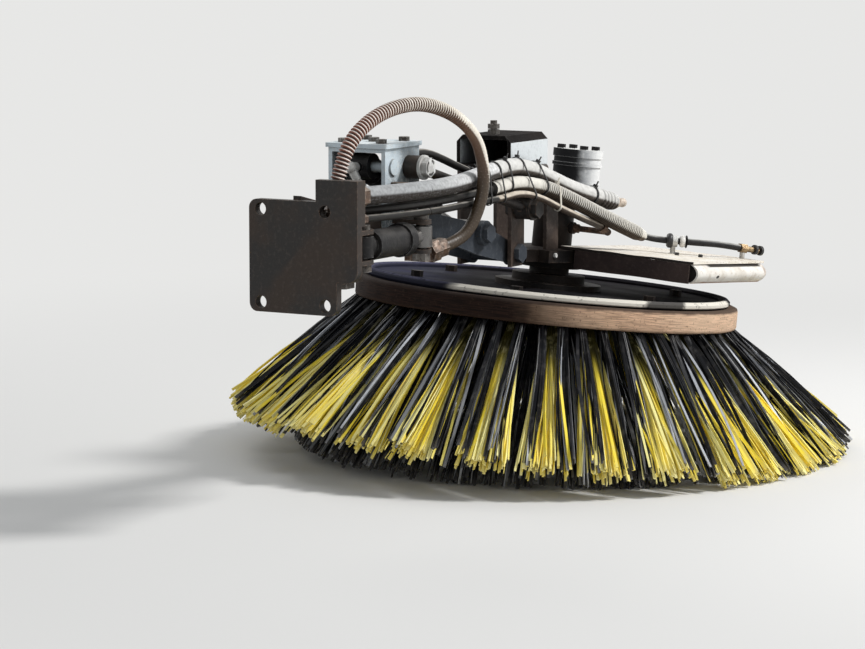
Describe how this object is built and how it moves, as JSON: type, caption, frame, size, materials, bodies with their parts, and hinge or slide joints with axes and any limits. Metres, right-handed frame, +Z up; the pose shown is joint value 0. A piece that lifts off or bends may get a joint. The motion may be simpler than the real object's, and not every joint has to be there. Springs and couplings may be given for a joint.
{
  "type": "street sweeper side brush unit",
  "caption": "Side brush of a street sweeper: tilted disc of black and yellow bristles with its motor and guard tray, on a parallelogram arm that lifts and swings from a chassis bracket.",
  "frame": {"origin": "centre of the mount plate's back face, where the unit bolts to the chassis", "axes": "+X is the direction of travel, -Y points outward to the kerb, +Z is up"},
  "size_m": [1.2036, 0.984, 0.562],
  "materials": {
    "dark_frame": "worn dark paint",
    "dusty_paint": "dusty light grey paint",
    "bare_steel": "worn zinc",
    "motor_grey": "grey paint",
    "disc_steel": "dark painted steel",
    "board_wood": "raw plywood",
    "hose_rubber": "dusty black rubber and grey sleeves",
    "conduit_plastic": "dusty ribbed plastic",
    "brass": "dull brass",
    "bristle_black": "polypropylene strands",
    "bristle_yellow": "polypropylene strands"
  },
  "bodies": {
    "chassis": {"mount_bracket": "dark_frame", "swing_pin": "bare_steel", "swing_cylinder_rear_pin": "bare_steel", "root_fittings": "bare_steel", "hoses_root": "hose_rubber", "conduit_root": "conduit_plastic"},
    "swing_arm": {"swing_beam": "dark_frame", "knuckle": "dusty_paint", "knuckle_top_plate": "dusty_paint", "knuckle_top_bolts": "bare_steel", "swing_rod_lugs": "dark_frame", "swing_rod_pin": "bare_steel", "upper_rear_pivot": "bare_steel", "lower_rear_pivot": "bare_steel", "lift_barrel_pin": "bare_steel", "arm_fittings": "bare_steel", "hoses_arm": "hose_rubber", "conduit_loop": "conduit_plastic", "conduit_tail": "conduit_plastic", "lift_hose": "hose_rubber"},
    "swing_barrel": {"swing_barrel": "dark_frame"},
    "swing_rod": {"swing_rod": "bare_steel"},
    "upper_link": {"upper_link": "dark_frame", "hose_tie_band": "bare_steel", "hoses_head": "hose_rubber"},
    "lower_link": {"lower_link": "dark_frame", "lower_link_boss_pin": "bare_steel"},
    "lift_barrel": {"lift_barrel": "dark_frame", "lift_port_elbow": "bare_steel"},
    "lift_rod": {"lift_rod": "bare_steel"},
    "head": {"head_box": "dusty_paint", "head_cheeks": "dark_frame", "base_plate": "dark_frame", "bearing_housing": "dark_frame", "brush_motor": "motor_grey", "guard_tray": "dusty_paint", "upper_front_pivot": "bare_steel", "lower_front_pivot": "bare_steel", "tilt_bolt": "bare_steel", "head_fittings": "bare_steel", "spray_hose": "hose_rubber", "spray_brackets": "bare_steel", "spray_nozzle": "brass"},
    "brush": {"brush_disc": "disc_steel", "brush_board": "board_wood", "brush_hub": "disc_steel", "tufts_black": "bristle_black", "tufts_yellow": "bristle_yellow", "disc_bolts": "bare_steel"}
  },
  "joints": [
    {"name": "arm_swing", "type": "hinge", "parent": "chassis", "child": "swing_arm", "pos_m": [0.115, 0, 0.01], "axis": [0, 0, 1], "range_deg": [-15, 20], "deforming": ["hoses_root", "conduit_root"]},
    {"name": "swing_barrel_turn", "type": "hinge", "parent": "chassis", "child": "swing_barrel", "pos_m": [0.037, -0.085, 0.015], "axis": [0, 0, 1], "range_deg": [-8, 10.5]},
    {"name": "swing_rod_slide", "type": "slide", "parent": "swing_barrel", "child": "swing_rod", "axis": [0.9998, 0.0189, 0], "range_m": [-0.0225, 0.0295]},
    {"name": "arm_lift", "type": "hinge", "parent": "swing_arm", "child": "upper_link", "pos_m": [0.225, 0, 0.106], "axis": [0, -1, 0], "range_deg": [-6, 22], "deforming": ["hoses_arm", "conduit_loop", "conduit_tail"]},
    {"name": "lower_link_turn", "type": "hinge", "parent": "swing_arm", "child": "lower_link", "pos_m": [0.225, 0, 0.04], "axis": [0, -1, 0], "range_deg": [-6.5, 22.5]},
    {"name": "head_level", "type": "hinge", "parent": "upper_link", "child": "head", "pos_m": [0.53965, 0, 0.02463], "axis": [0, -1, 0], "range_deg": [-22.5, 6.5], "deforming": ["hoses_head"]},
    {"name": "lift_barrel_turn", "type": "hinge", "parent": "swing_arm", "child": "lift_barrel", "pos_m": [0.184, 0, 0.108], "axis": [0, -1, 0], "range_deg": [-5.2, 18.2], "deforming": ["lift_hose"]},
    {"name": "lift_rod_slide", "type": "slide", "parent": "lift_barrel", "child": "lift_rod", "axis": [0.9205, 0, -0.3908], "range_m": [-0.0245, 0.0075]},
    {"name": "brush_spin", "type": "hinge", "parent": "head", "child": "brush", "pos_m": [0.71605, 0, -0.10997], "axis": [0.0867, -0.0585, 0.9945], "continuous": true}
  ],
  "couplings": [
    {"joint": "swing_barrel_turn", "follows": "arm_swing", "ratio": 0.4995},
    {"joint": "swing_rod_slide", "follows": "arm_swing", "m_per_rad": 0.08144},
    {"joint": "lower_link_turn", "follows": "arm_lift", "ratio": 1},
    {"joint": "head_level", "follows": "arm_lift", "ratio": -1},
    {"joint": "lift_barrel_turn", "follows": "arm_lift", "ratio": 0.7921},
    {"joint": "lift_rod_slide", "follows": "arm_lift", "m_per_rad": -0.05304}
  ]
}
